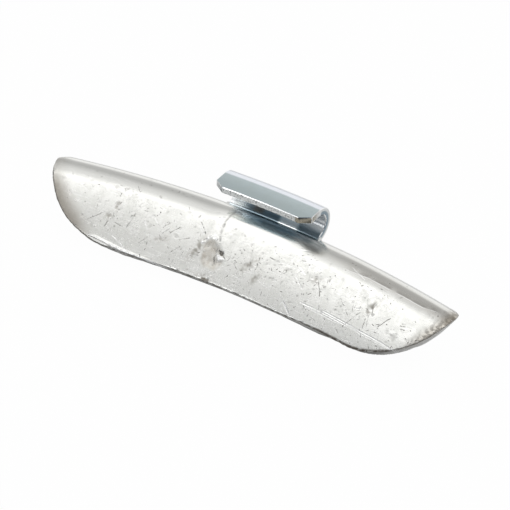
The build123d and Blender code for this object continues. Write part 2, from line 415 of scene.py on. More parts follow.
# the thin edge and the wall under it stand out or back a little, and lead is drawn up at the clip
outAlong = rimOut - normal * np.sum(rimOut * normal, axis=1)[:, None]
outAlong /= np.linalg.norm(outAlong, axis=1)[:, None] + 1e-9
edgeReach = np.interp(along, *zip(*marks["edgeReach"])) * ease(2.6, 0, rimGap) * ease(1.7, 0, -off)
points += outAlong * (edgeReach * (angle > 0))[:, None]
wallReach = np.interp(along, *zip(*marks["wallReach"])) * ease(0.3, 1.8, -off) * ease(1.2, 0.6, rimGap)
points += rimOut * wallReach[:, None]
onFace = ease(0.4, 0.2, np.abs(off)) * (angle > -0.4)
openFace = (off > -0.5) & (angle > 0)
mound = between(*marks["moundAlong"], along) * between(*marks["moundDown"], down)
height = marks["mound"] * mound * onFace            # along the face's normal
inset = np.zeros(len(points))                       # into the thin edge
dirtAndShade, brown, bare = np.zeros((3, len(points)))     # dirt and painted shade, brown stain and painted shade, and bright metal


# the stronger of what is there and what is laid over it
def layOn(layer, values, where=slice(None)):
    layer[where] = np.maximum(layer[where], values)


# an oval dent with a low raised rim
def pressDent(a, d, halfLong, halfHigh, turn, depth, dirt):
    reach = 1.9 * max(halfLong, halfHigh)
    near = np.flatnonzero((np.abs(along - a) < reach) & (np.abs(down - d) < reach) & (onFace > 0))
    q = ovalGap(along[near] - a, down[near] - d, halfLong, halfHigh, turn)
    q *= 1 + marks["dentRagged"] * cloudy(points[near], 0.4, a + d)
    height[near] += depth * (0.2 * ridge(q - 1.15, 0.22) - np.exp(-1.6 * q ** 3)) * onFace[near]
    layOn(dirtAndShade, dirt * np.exp(-2.2 * q ** 3), near)


# a scratch along a path, with a burr beside it
def drawScratch(halfWide, depth, path, tint, strength):
    a, d = zip(*path)
    near = np.flatnonzero((along > min(a) - 1) & (along < max(a) + 1)
                          & (down > min(d) - 1) & (down < max(d) + 1) & (onFace > 0))
    gap = nearLine(along[near], down[near], path)[0]
    gap = gap * (1 + 0.3 * cloudy(points[near], 0.5, depth * 90))
    line = ridge(gap, halfWide)
    height[near] += depth * (0.45 * ridge(gap - 1.7 * halfWide, halfWide) - line) * onFace[near]
    layOn(tint, strength * line, near)


for a, d, halfLong, halfHigh, turn, depth, dirt in marks["dents"]:
    pressDent(a, d, marks["dentSize"] * halfLong, marks["dentSize"] * halfHigh, turn,
              marks["dentDepth"] * depth, marks["dentDirt"] * dirt)
for kind, tint, strength in (("dark", dirtAndShade, marks["scratchDirt"]), ("bright", bare, marks["scratchBare"])):
    for halfWide, depth, path in marks[kind]:
        drawScratch(marks["scratchWidth"] * halfWide, marks["scratchDepth"] * depth, path, tint, strength)
chance = random.Random(marks["seed"])
for i in range(marks["speckCount"]):
    if chance.random() < marks["speckShare"]:
        a0, d0, spreadA, spreadD = chance.choice(marks["clusters"])
        a, d = chance.gauss(a0, spreadA), chance.gauss(d0, spreadD)
    else:
        a, d = chance.uniform(*marks["speckAlong"]), chance.uniform(*marks["speckDown"])
    size = chance.uniform(*marks["speckSize"])
    pressDent(a, d, size * chance.uniform(1, 2.4), size, chance.uniform(0, 180), size * marks["speckDepth"],
              chance.uniform(*marks["speckDirt"]))
for a, d, halfLong, halfHigh, turn, strength in marks["smudges"]:
    rubbed = strength * ridge(ovalGap(along - a, down - d, halfLong, halfHigh, turn), 1) * onFace
    rubbed *= ease(-0.35, 0.3, cloudy(points, 0.5, 30.0 + a))
    layOn(dirtAndShade, rubbed)
    layOn(brown, rubbed)
print("dents and scratches pressed")

# cold shut: a narrow groove with the metal on its right a little proud
for path in (marks["crease"], marks["creaseLow"]):
    gap, side = nearLine(along, down, path)
    gap = gap * (1 + 0.4 * cloudy(points, 0.6, 3.0))
    patchy = ease(-0.6, 0.1, cloudy(points, 0.7, 13.0))
    groove = marks["creaseDepth"] * patchy * ridge(gap, marks["creaseWidth"])
    height += (marks["creaseProud"] * (side < 0) * np.exp(-gap / 0.9) - groove) * onFace
    layOn(dirtAndShade, marks["creaseDirt"] * patchy * ridge(gap, 0.2) * onFace)

# sink hole: torn upper lip, slanting floor, a deep hole at its right and a flake below that with a painted
# glint
gap = nearLine(along, down, marks["pitRim"] + marks["pitRim"][:1])[0] + 0.12 * cloudy(points, 0.5, 9.0)
inPit = insideLoop(along, down, marks["pitRim"]) & openFace
slant = np.clip((along + 7.6) / 5.0 * 0.7 + (6.6 - down) / 5.0 * 0.5, 0, 1)
floorDepth = marks["pitShallow"] + (marks["pitDeep"] - marks["pitShallow"]) * slant
height = np.where(inPit, 0.25 * height, height)
height -= inPit * floorDepth * ease(0, 1, np.clip(gap, 0, farOff) / (1.7 - 0.4 * slant))
streak = cloudy(points * [1.0, 0.35, 1.0], 0.5, 15.0)
layOn(brown, (0.4 + 0.3 * streak) * inPit * ease(0.05, 0.6, gap))
dirtAndShade = np.where(inPit, 0.3 * dirtAndShade + 0.06, dirtAndShade)
lipGap = nearLine(along, down, marks["pitLip"])[0]
torn = ease(-0.2, 0.2, cloudy(points, 0.45, 14.0)) * onFace
height += marks["pitLipHeight"] * torn * ridge(lipGap, marks["pitLipWidth"])
layOn(bare, torn * ridge(lipGap, 0.2))
holeGap = nearLine(along, down, marks["pitHole"])[0] * (1 + 0.3 * cloudy(points, 0.3, 17.0))
hole = ease(marks["pitHoleSize"], 0.14, holeGap) * openFace
height -= marks["pitHoleDepth"] * hole
layOn(dirtAndShade, 0.75 * hole)
flakeGap = nearLine(along, down, marks["pitFlake"] + marks["pitFlake"][:1])[0]
inFlake = insideLoop(along, down, marks["pitFlake"])
flakeGap = np.where(inFlake, flakeGap, -flakeGap) * openFace - farOff * (angle <= 0)
flake = ease(-0.4, 0.2, flakeGap)
height += flake * marks["flakeHeight"] * np.clip(down - 4.9, 0, 1.2)
dirtAndShade *= 1 - flake
brown *= 1 - flake

# fold beside the crown and the flash along the thin edge
foldShare = between(*marks["foldSpan"], along) * onFace * ease(-0.9, -0.1, cloudy(points, 2.2, 16.0))
below = down - np.interp(along, *zip(*marks["fold"])) + 0.05 * cloudy(points, 1.2, 5.0)
height += marks["foldHeight"] * (ridge(below, 0.2) - ridge(below - 0.5, 0.25)) * foldShare
foldGap = np.where(foldShare > 0.02, below, farOff)
flashShare = between(*marks["flashSpan"], along) * onFace
below = down - np.interp(along, *zip(*marks["flash"])) + 0.06 * cloudy(points, 0.9, 6.0)
height += marks["flashHeight"] * ridge(below, marks["flashWidth"]) * flashShare
flashGap = np.where(flashShare > 0.02, below, farOff)

# ragged thin edge with nicks, and dirt that gathers along it; the walls under it are painted dark as shade
ragged = cloudy(points, 0.7, 2.0) + 0.6 * cloudy(points, 0.3, 4.0)
nearRim = np.exp(-np.maximum(rimGap, 0) / 0.5) * ease(-1.4, -0.5, off) * ease(-0.6, -0.1, angle)
inset += marks["edgeRagged"] * np.maximum(ragged, -0.1) * nearRim
for a, d, halfWide, depth in marks["nicks"]:
    q = np.hypot(along - a, (down - d) * 0.8) / (0.7 * halfWide)
    notch = ridge(q, 1) * ease(-1.0, -0.5, off) * ease(0.5, 0.1, rimGap)
    inset += depth * notch
    layOn(dirtAndShade, marks["nickDirt"] * notch)
# painted shade: the front and end walls under the thin edge darkened, standing in for the shadowed floor they
# reflect
onWall = ease(0.3, 0.12, np.abs(rimGap)) * ease(-0.1, -0.3, off) * ease(-1.0, 0.3, angle)
endWall = ease(17, 24, along)
frontWallShade = np.clip(0.6 + 0.4 * cloudy(points, 1.1, 7.0), 0.3, 0.95)
endWallShade = (1.15 - 0.6 * ease(31, 37, along)) * ease(5.5, 1.5, -off)
layOn(dirtAndShade, onWall * (frontWallShade * (1 - endWall) + endWallShade * endWall))
atRim = ease(0.35, 0.05, rimGap) * ease(-0.1, 0.3, cloudy(points, 0.8, 8.0)) * onFace
layOn(dirtAndShade, marks["rimDirt"] * atRim)
edgeGap = np.hypot(np.maximum(rimGap, 0), np.maximum(-off, 0))
edgeGap = edgeGap * (1 - 0.4 * ease(15, 22, along) + 0.7 * ease(32, 36, along)) + farOff * (angle <= 0)
# painted shade: the left end near the thin edge turned darker and browner, more so lower down; the right tip
# darker and browner in speckles; a faint brown band near the crown at the right
leftTipShade = ease(-27, -33, along) * ease(3.4, 0.2, rimGap) * onFace * (0.35 + 0.65 * ease(-1.0, 2.5, down))
rightTip = ease(34.5, 38, along) * ease(2.4, 0.4, rimGap) * onFace
rightBand = ease(10, 22, along) * between(-4.4, -3.2, -2.2, -1.0, down) * onFace
layOn(brown, 0.65 * leftTipShade + 0.6 * rightTip + 0.25 * rightBand)
layOn(dirtAndShade, 0.42 * leftTipShade + 0.56 * rightTip * ease(-0.35, 0.25, cloudy(points, 0.5, 12.0)))

# scuffs: ragged shallow islands, thick in some places and nearly absent in others
twist = 0.5 * np.stack([cloudy(points, 0.9, draw) for draw in (20.0, 21.0, 22.0)], 1)
thick = ease(-0.15, 0.35, cloudy(points, 6.0, 23.0)) * ease(-1.5, 1.5, down) * onFace
for stretch, size, draw in marks["scuffs"]:
    island = ease(0.3, 0.46, cloudy((points + twist) * stretch, size, draw)) * thick
    height -= marks["scuffDepth"] * island
    layOn(dirtAndShade, marks["scuffDirt"] * island)

height += sum(high * cloudy(points, size, draw) for high, size, draw in marks["waves"]) * onFace
points += normal * height[:, None] - rimOut * inset[:, None]
points[:, 2] = np.maximum(points[:, 2], 0)
writePoints(leadBody, points)

# where the metal is glossy, where the clip's dark reflection is painted on it, or where it is scratched most
dullPatch = ease(4.0, 1.5, np.hypot((along - 11.0) / 1.6, down + 1.0))
gloss = ease(0.6, -2.4, down) * onFace * (1 - 0.7 * dullPatch)
clipReflection = between(-6.6, -4.6, 8.8, 10.6, along) * ease(-2.3, -3.1, down) * onFace
worked = sum(np.exp(-((along - a) / wide) ** 2 / 2 - ((down - d) / tall) ** 2 / 2)
             for a, d, wide, tall in marks["clusters"])
worked = 0.05 + np.clip(worked, 0, 1) * ease(-0.5, 0.35, cloudy(points, 2.4, 31.0))
worked = worked * onFace * (1 - 0.9 * inPit)
worked += 1.6 * ease(0.9, 0.15, rimGap) * onFace * (0.25 + 0.75 * ease(26, 32, along))
for name, values in (("dirtAndShade", dirtAndShade), ("brown", brown), ("bare", bare), ("gloss", gloss),
                     ("foldShare", foldShare), ("clipReflection", clipReflection)):
    writeMask(leadBody, name, values)
for name, values in (("worked", worked), ("foldGap", foldGap), ("flashGap", flashGap), ("flakeGap", flakeGap),
                     ("edgeGap", edgeGap), ("face", np.stack([along, down, np.zeros(len(along))], 1))):
    writeField(leadBody, name, values)
selectOnly(leadBody)
bpy.ops.object.shade_smooth()
print("lead finished:", len(leadBody.data.polygons), "faces")


# spring clip, in millimetres: one strip bent into lip, hook, shank and tang
springClip = {
    "width": 18.8, "middle": 0.7, "thickness": 1.25,
    "hookY": 5.1, "hookZ": 11.15, "hookRadius": 2.1, "hookTurn": 165.0, "hookSteps": 30,
    "lipLength": 3.6, "lipCornerX": 1.9, "lipCornerY": 1.3,
    "shankRadius": 0.4, "shankTurn": 40.0, "shankSteps": 8, "tangLength": 6.0,
    "keyHole": 2.6, "keySpacing": 9.0, "keyInset": 2.4,
    "acrossFaces": 80, "edgeRound": 0.14, "leftStep": 1.0, "leftStepTurn": (60, 100),
    "lipRoll": 0.06, "lipRollY": (3.8, 5.6, 5.6, 7.4),
    "tangSteps": 6, "keySides": 32, "keyCutter": 6.0, "bevelAngle": 40, "smoothAngle": 32,
}


def selectWhere(piece, test):
    bpy.context.tool_settings.mesh_select_mode = (True, False, False)
    bpy.ops.mesh.select_all(action='DESELECT')
    switchTo('OBJECT')
    for vertex in piece.data.vertices:
        vertex.select = test(vertex.co / millimetre)
    switchTo('EDIT')


def around(centre, radius, angle):
    return (centre[0] + radius * math.sin(angle), centre[1] + radius * math.cos(angle))


# the strip's inner face: lip, hook turned over the rim, shank and tang
def buildClip():
    c = springClip
    bpy.ops.mesh.primitive_grid_add(x_subdivisions=c["acrossFaces"], y_subdivisions=1, size=millimetre)
    clip = bpy.context.object
    clip.name = clip.data.name = "springClip"
    lipTop = c["hookZ"] + c["hookRadius"]
    lipFront = c["hookY"] - c["lipLength"]
    slack = 0.01            # millimetres, for picking points
    switchTo('EDIT')
    bpy.ops.transform.resize(value=(c["width"], c["lipCornerY"], 1))
    middle = Vector((c["middle"], lipFront + c["lipCornerY"] / 2, lipTop)) * millimetre
    bpy.ops.transform.translate(value=middle)
    selectWhere(clip, lambda p: p.y < lipFront + slack)
    bpy.ops.transform.resize(value=(1 - 2 * c["lipCornerX"] / c["width"], 1, 1), center_override=middle)
    selectWhere(clip, lambda p: p.y > lipFront + slack)
    flat = (c["lipLength"] - c["lipCornerY"]) * millimetre
    bpy.ops.mesh.extrude_region_move(TRANSFORM_OT_translate={"value": (0, flat, 0)})
    selectWhere(clip, lambda p: p.y > c["hookY"] - slack)
    hook = (c["hookY"], c["hookZ"])
    hookTurn, shankTurn = math.radians(c["hookTurn"]), math.radians(c["shankTurn"])
    bpy.ops.mesh.spin(steps=c["hookSteps"], angle=hookTurn, axis=(1, 0, 0),
                      center=(0, hook[0] * millimetre, hook[1] * millimetre))
    end = around(hook, c["hookRadius"], hookTurn)
    selectWhere(clip, lambda p: math.hypot(p.y - end[0], p.z - end[1]) < 2 * slack)
    shank = around(end, c["shankRadius"] + c["thickness"], hookTurn)
    bpy.ops.mesh.spin(steps=c["shankSteps"], angle=-shankTurn, axis=(1, 0, 0),
                      center=(0, shank[0] * millimetre, shank[1] * millimetre))
    lean = hookTurn - shankTurn
    start = around(shank, -c["shankRadius"] - c["thickness"], lean)
    selectWhere(clip, lambda p: math.hypot(p.y - start[0], p.z - start[1]) < 2 * slack)
    step = c["tangLength"] / c["tangSteps"] * millimetre
    for i in range(c["tangSteps"]):
        bpy.ops.mesh.extrude_region_move(
            TRANSFORM_OT_translate={"value": (0, step * math.cos(lean), -step * math.sin(lean))})
    bpy.ops.mesh.select_all(action='SELECT')
    bpy.ops.mesh.remove_doubles(threshold=1e-6)
    bpy.ops.mesh.normals_make_consistent(inside=False)
    switchTo('OBJECT')
    lipFace = max(clip.data.polygons, key=lambda face: face.center.z)
    if lipFace.normal.z < 0:
        switchTo('EDIT')
        bpy.ops.mesh.flip_normals()
        switchTo('OBJECT')
    # the strip follows the rim's arc, and its lower part is narrower at the left
    x, y, z = readPoints(clip).T
    turn = np.degrees(np.arctan2(y - hook[0], z - hook[1])) % 360
    onLip = (z > hook[1]) & (y < hook[0] + slack)
    lower = np.where(onLip, 0, ease(*c["leftStepTurn"], turn))
    roll = between(*c["lipRollY"], y) * (z > hook[1])
    x = x + (x < c["middle"]) * lower * c["leftStep"] * (c["middle"] - x) / (c["width"] / 2)
    y = y - x ** 2 / (2 * leadCasting["axleDistance"])
    writePoints(clip, np.stack([x, y, z - c["lipRoll"] * roll], 1))
    return clip, start, lean


clip, tangStart, tangLean = buildClip()
print("clip bent:", len(clip.data.vertices), "points")


# nodes and links are those of the tree that is being built
def openTree(tree):
    global nodes, links
    nodes, links = tree.nodes, tree.links


def newMaterial(name):
    material = bpy.data.materials.new(name)
    material.use_nodes = True
    openTree(material.node_tree)
    return material, nodes["Principled BSDF"]


def feed(socket, value):
    if isinstance(value, bpy.types.NodeSocket):
        links.new(value, socket)
    else:
        socket.default_value = value


def fill(node, **inputs):
    for name, value in inputs.items():
        feed(node.inputs[name.replace("_", " ")], value)
    return node


def setUp(kind, **inputs):
    return fill(nodes.new("ShaderNode" + kind), **inputs)


def blend(factor, first, second, mode='MIX'):
    node = setUp("Mix")
    node.data_type = 'RGBA'
    node.blend_type = mode
    for place, value in ((0, factor), (6, first), (7, second)):
        feed(node.inputs[place], value)
    return node.outputs[2]


def sums(operation, *values):
    node = setUp("Math")
    node.operation = operation
    for socket, value in zip(node.inputs, values):
        feed(socket, value)
    return node.outputs[0]


def times(first, second):
    return sums('MULTIPLY', first, second)


def greatest(*values):
    best = values[0]
    for value in values[1:]:
        best = sums('MAXIMUM', best, value)
    return best


# smooth step of a value, from one pair of levels to another
def spread(value, low, high, toLow=0.0, toHigh=1.0):
    node = setUp("MapRange", Value=value, From_Min=low, From_Max=high, To_Min=toLow, To_Max=toHigh)
    node.interpolation_type = 'SMOOTHSTEP'
    return node.outputs[0]


def clouds(place, scale, detail, rough=0.55):
    node = setUp("TexNoise", Vector=place, Scale=scale, Detail=detail, Roughness=rough)
    return node.outputs["Fac"]


def newGroup(name, inputs, outputs):
    group = bpy.data.node_groups.new(name, 'ShaderNodeTree')
    for socket in inputs:
        kind = 'NodeSocketVector' if socket in ("Place", "Start", "Way") else 'NodeSocketFloat'
        group.interface.new_socket(socket, in_out='INPUT', socket_type=kind)
    for socket in outputs:
        group.interface.new_socket(socket, in_out='OUTPUT', socket_type='NodeSocketFloat')
    openTree(group)
    return group, nodes.new("NodeGroupInput").outputs, nodes.new("NodeGroupOutput").inputs


# a group placed in the open tree, its inputs linked or set
def placeGroup(group, **inputs):
    node = setUp("Group")
    node.node_tree = group
    return fill(node, **inputs).outputs


# marks that handling leaves on any bare metal: slow mottling, fine grain and hair scratches
def handledMetal():
    group, entry, leave = newGroup("handledMetal", ("Place",), ("Mottle", "Grain", "Hairlines"))
    place = entry["Place"]
    links.new(spread(clouds(place, 0.55, 2.0), 0.34, 0.66), leave["Mottle"])
    links.new(clouds(place, 6.0, 3.0, 0.6), leave["Grain"])
    lines = []
    for turn, fine in ((0.5, 1.5), (-0.6, 1.9), (1.35, 1.2)):
        drawn = setUp("Mapping", Vector=place, Rotation=(0.6, 0, turn), Scale=(0.09, fine, fine))
        wave = clouds(drawn.outputs[0], 1.0, 1.0)
        line = spread(sums('ABSOLUTE', sums('SUBTRACT', wave, 0.5)), 0.004, 0.016, 1.0, 0.0)
        patch = spread(clouds(place, 0.35 + 0.1 * fine, 1.0), 0.48, 0.6)
        lines.append(times(line, patch))
    links.new(greatest(*lines), leave["Hairlines"])
    return group


handled = handledMetal()


def vectors(operation, *values, scale=None):
    node = setUp("VectorMath")
    node.operation = operation
    for socket, value in zip(node.inputs, values):
        feed(socket, value)
    if scale is not None:
        feed(node.inputs["Scale"], scale)
    return node.outputs["Value" if operation in ('DOT_PRODUCT', 'LENGTH') else "Vector"]


# short strokes strewn over the face: one in each cell of a random mesh, each turned its own way, with a
# painted highlight line beside each
def strewnMarks():
    group, entry, leave = newGroup(
        "strewnMarks", ("Place", "Cells", "Length", "Width", "Share"), ("Mark", "Edge"))
    width = entry["Width"]
    cell = setUp("TexVoronoi", Scale=entry["Cells"])
    cell.voronoi_dimensions = '2D'
    links.new(entry["Place"], cell.inputs["Vector"])
    draw = setUp("SeparateColor", Color=cell.outputs["Color"]).outputs
    turned = setUp("VectorRotate")
    turned.rotation_type = 'Z_AXIS'
    links.new(vectors('SUBTRACT', entry["Place"], cell.outputs["Position"]), turned.inputs["Vector"])
    links.new(times(draw["Red"], 6.283), turned.inputs["Angle"])
    split = setUp("SeparateXYZ", Vector=turned.outputs[0]).outputs
    reach = times(entry["Length"], sums('MULTIPLY_ADD', draw["Green"], 0.65, 0.35))
    present = sums('LESS_THAN', draw["Blue"], entry["Share"])
    run = times(spread(sums('ABSOLUTE', split["X"]), times(reach, 0.6), reach, 1.0, 0.0), present)
    # painted highlight: a line beside each stroke, standing in for its lit side
    beside = sums('MULTIPLY_ADD', width, -1.7, split["Y"])
    for name, across in (("Mark", split["Y"]), ("Edge", beside)):
        line = spread(sums('ABSOLUTE', across), times(width, 0.3), width, 1.0, 0.0)
        links.new(times(line, run), leave[name])
    return group


# one straight scratch between two points of the face
def straightScratch():
    group, entry, leave = newGroup("straightScratch", ("Place", "Start", "Way", "Length", "Width"), ("Line",))
    arm = vectors('SUBTRACT', entry["Place"], entry["Start"])
    run = sums('MINIMUM', greatest(vectors('DOT_PRODUCT', arm, entry["Way"]), 0.0), entry["Length"])
    foot = vectors('SCALE', entry["Way"], scale=run)
    gap = vectors('LENGTH', vectors('SUBTRACT', arm, foot))
    links.new(spread(gap, times(entry["Width"], 0.35), entry["Width"], 1.0, 0.0), leave["Line"])
    return group


strewn, scratch = strewnMarks(), straightScratch()


def scratchAlong(place, path, width):
    lines = []
    for (a0, d0), (a1, d1) in zip(path[:-1], path[1:]):
        size = math.hypot(a1 - a0, d1 - d0)
        way = ((a1 - a0) / size, (d1 - d0) / size, 0)
        line = placeGroup(scratch, Place=place, Start=(a0, d0, 0), Way=way, Length=size, Width=width)
        lines.append(line["Line"])
    return lines


def metalMarks():
    place = setUp("TexCoord").outputs["Object"]
    place = setUp("Mapping", Vector=place, Scale=(1000.0, 1000.0, 1000.0)).outputs[0]
    return place, placeGroup(handled, Place=place)


def mask(name):
    node = setUp("Attribute")
    node.attribute_name = name
    return node.outputs["Fac"]


def bumpUp(relief, metal):
    bump = setUp("Bump", Strength=metal["bump"], Distance=metal["bumpHeight"], Height=relief)
    return bump.outputs[0]


castLead = {
    "pale": (0.832, 0.831, 0.801, 1), "dull": (0.780, 0.780, 0.744, 1), "bare": (0.95, 0.95, 0.94, 1),
    # the last colour here is the clip's dark reflection, painted on the lead beside the clip
    "dirt": (0.13, 0.113, 0.09, 1), "brown": (0.42, 0.37, 0.30, 1), "clipReflection": (0.30, 0.345, 0.38, 1),
    "matt": 0.24, "glossy": 0.12, "hairlines": 0.35, "clipReflectionShare": 0.8,
    # cells per millimetre, half length, half width, share of cells, strength
    "strewn": [(0.42, 1.1, 0.06, 0.5, 0.75), (0.95, 0.42, 0.08, 0.5, 0.95), (1.9, 0.2, 0.11, 0.15, 0.9),
               (0.75, 0.75, 0.05, 0.6, 0.6)],
    "strewnHighlight": 0.5, "scratchWidth": 0.6, "bump": 0.12, "bumpHeight": 0.00002,
    # painted shade and highlight bands beside the fold and the flash: rise, fall, strength, and what is left
    # after the fall
    "foldAbove": ((-1.1, -0.1), (-0.06, 0.0), 0.42, 0.0), "foldBelow": ((0.1, 0.2), (0.2, 1.7), 0.08, 0.0),
    "foldHighlight": ((-0.02, 0.04), (0.1, 0.2), 0.7, 0.0),
    "flashHighlight": ((-0.12, -0.05), (0.05, 0.12), 0.95, 0.0),
    "flashShade": ((0.08, 0.14), (0.2, 0.34), 0.5, 0.12), "flashLedge": (3.0, 4.0),
}


def band(gap, name):
    rise, fall, strength, rest = castLead[name]
    return times(spread(gap, *rise), spread(gap, *fall, strength, rest))


lead, shader = newMaterial("castLead")
place, handling = metalMarks()
grain, hairlines = handling["Grain"], handling["Hairlines"]
glossMask = mask("gloss")
mattMottle = times(handling["Mottle"], sums('SUBTRACT', 1.0, glossMask))
colour = blend(mattMottle, castLead["pale"], castLead["dull"])
colour = blend(times(hairlines, castLead["hairlines"]), colour, castLead["bare"])
colour = blend(mask("brown"), colour, castLead["brown"])
# painted reflection: the clip's hook painted as a bluish dark on the lead beside it
colour = blend(times(mask("clipReflection"), castLead["clipReflectionShare"]), colour, castLead["clipReflection"])
# dirt and painted shade from the mesh, broken up by the grain
grainyDirtAndShade = times(mask("dirtAndShade"), spread(grain, 0.3, 0.6, 0.55, 1.0))
# crisp marks, laid out on the face in millimetres with a slight wobble
faceAt = setUp("Attribute")
faceAt.attribute_name = "face"
wobble = setUp("TexNoise", Vector=place, Scale=0.9, Detail=3.0, Roughness=0.6)
wobble = setUp("Mapping", Vector=wobble.outputs["Color"], Location=(-0.25, -0.25, 0),
               Scale=(0.5, 0.5, 0))
spot = vectors('ADD', faceAt.outputs["Vector"], wobble.outputs[0])
workedMask = mask("worked")
darkMarks, brightMarks = [], []
for cells, length, width, share, strength in castLead["strewn"]:
    share = times(workedMask, share)
    strokes = placeGroup(strewn, Place=spot, Share=share, Cells=cells, Length=length, Width=width)
    darkMarks.append(times(strokes["Mark"], strength))
    brightMarks.append(times(strokes["Edge"], castLead["strewnHighlight"] * strength))
for kind, lines in (("dark", darkMarks), ("bright", brightMarks)):
    for halfWide, _, path in marks[kind]:
        lines.extend(scratchAlong(spot, path, castLead["scratchWidth"] * halfWide))
uneven = clouds(place, 1.3, 2.0)
dark = times(greatest(*darkMarks), spread(uneven, 0.4, 0.58, 0.15, 0.9))
bright = times(greatest(*brightMarks), spread(uneven, 0.35, 0.5, 0.4, 0.9))
rimLine = times(spread(mask("edgeGap"), 0.12, 0.36, 1.0, 0.0), spread(uneven, 0.36, 0.56, 0.5, 1.0))
# the fold: a band of painted shade that ends sharply at a painted highlight on its lip
foldGap, foldShare = mask("foldGap"), mask("foldShare")
foldShade = times(greatest(band(foldGap, "foldAbove"), band(foldGap, "foldBelow")), foldShare)
foldHighlight = times(band(foldGap, "foldHighlight"), foldShare)
# the flash: a painted highlight line, a painted shade line under it and a grey ledge down to the edge
flashGap = mask("flashGap")
flashShade = times(band(flashGap, "flashShade"), spread(flashGap, *castLead["flashLedge"], 1.0, 0.0))
# painted highlight: the flake white as a glint
flakeGlint = spread(mask("flakeGap"), -0.02, 0.05)
dark = greatest(dark, rimLine, foldShade, flashShade)
bright = greatest(bright, foldHighlight, band(flashGap, "flashHighlight"), flakeGlint)
# dark marks and dirt take the dirt colour, and with them the painted shade of the walls, the left end, the
# fold and the flash
dirt = greatest(grainyDirtAndShade, dark)
colour = blend(dirt, colour, castLead["dirt"])
# bare metal in the bare colour, and with it the painted highlights beside strokes, on the fold, on the flash
# and on the flake
colour = blend(greatest(mask("bare"), bright), colour, castLead["bare"])
rough = spread(glossMask, 0.0, 1.0, castLead["matt"], castLead["glossy"])
rough = sums('MULTIPLY_ADD', mattMottle, 0.04, rough)
relief = sums('SUBTRACT', grain, sums('MULTIPLY_ADD', dark, 3.0, hairlines))
fill(shader, Base_Color=colour, Metallic=sums('SUBTRACT', 1.0, times(dirt, 0.6)),
     Roughness=sums('MULTIPLY_ADD', dirt, 0.3, rough), Normal=bumpUp(relief, castLead))
leadBody.data.materials.clear()
leadBody.data.materials.append(lead)
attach(leadBody, "root")
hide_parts("cast_body")

# the hollow's blue, the bend's pale and the white shine are painted reflection and highlights; the shade
# colour is painted shade
zincSteel = {
    "blue": (0.57, 0.657, 0.673, 1), "grey": (0.55, 0.632, 0.638, 1), "bend": (0.80, 0.83, 0.88, 1),
    "inside": (0.54, 0.70, 0.80, 1), "stain": (0.20, 0.16, 0.12, 1), "shade": (0.10, 0.14, 0.17, 1),
    "shine": (0.95, 0.96, 0.96, 1),
    "hollowReflectionShare": 0.8, "shadeShare": 0.85, "stainShare": 0.8, "satinMetal": 0.35,
    "rough": (0.13, 0.2), "bump": 0.12, "bumpHeight": 0.00001,
}
steel, shader = newMaterial("zincSteel")
place, handling = metalMarks()
mottle = handling["Mottle"]
insideMask = mask("inside")
colour = blend(mottle, zincSteel["blue"], zincSteel["grey"])
# painted highlight on the strip behind the hook
colour = blend(mask("bend"), colour, zincSteel["bend"])
# painted reflection: the hook's hollow a lighter blue, standing in for the light it reflects
colour = blend(times(insideMask, zincSteel["hollowReflectionShare"]), colour, zincSteel["inside"])
colour = blend(times(mask("shade"), zincSteel["shadeShare"]), colour, zincSteel["shade"])
# painted highlight and reflections in near-white on the shank and at the hollow's ends
colour = blend(mask("shine"), colour, zincSteel["shine"])
colour = blend(times(times(mask("stain"), insideMask), zincSteel["stainShare"]), colour, zincSteel["stain"])
fill(shader, Base_Color=colour, Metallic=spread(mask("satin"), 0.0, 1.0, 1.0, zincSteel["satinMetal"]),
     Roughness=spread(mottle, 0.0, 1.0, *zincSteel["rough"]),
     Normal=bumpUp(sums('SUBTRACT', handling["Grain"], handling["Hairlines"]), zincSteel))

shearedEdge = {"pale": (0.78, 0.80, 0.79, 1), "dark": (0.16, 0.17, 0.17, 1), "stain": (0.32, 0.285, 0.215, 1),
               "torn": (0.26, 0.33, 0.38, 1), "stainShare": 0.9, "dullMetal": 0.1,
               "rough": (0.15, 0.35), "bump": 0.5, "bumpHeight": 0.00003}
sheared, shader = newMaterial("shearedEdge")
place, handling = metalMarks()
grain = handling["Grain"]
speck = times(spread(clouds(place, 3.6, 1.0, 0.6), 0.48, 0.7), mask("front"))
colour = blend(speck, shearedEdge["pale"], shearedEdge["dark"])
colour = blend(times(mask("stain"), shearedEdge["stainShare"]), colour, shearedEdge["stain"])
colour = blend(spread(mask("torn"), 0.25, 0.6), colour, shearedEdge["torn"])
fill(shader, Base_Color=colour, Metallic=spread(mask("dull"), 0.0, 1.0, 1.0, shearedEdge["dullMetal"]),
     Roughness=spread(grain, 0.3, 0.7, *shearedEdge["rough"]), Normal=bumpUp(grain, shearedEdge))

burnished = {"bright": (0.97, 0.98, 0.98, 1), "grey": (0.8, 0.82, 0.83, 1), "rough": (0.12, 0.22)}
wornEdge, shader = newMaterial("wornEdge")
place, handling = metalMarks()
grain = handling["Grain"]
colour = blend(spread(grain, 0.5, 0.7), burnished["bright"], burnished["grey"])
fill(shader, Base_Color=colour, Metallic=spread(mask("dull"), 0.0, 1.0, 1.0, shearedEdge["dullMetal"]),
     Roughness=spread(grain, 0.3, 0.7, *burnished["rough"]))
print("metals mixed")

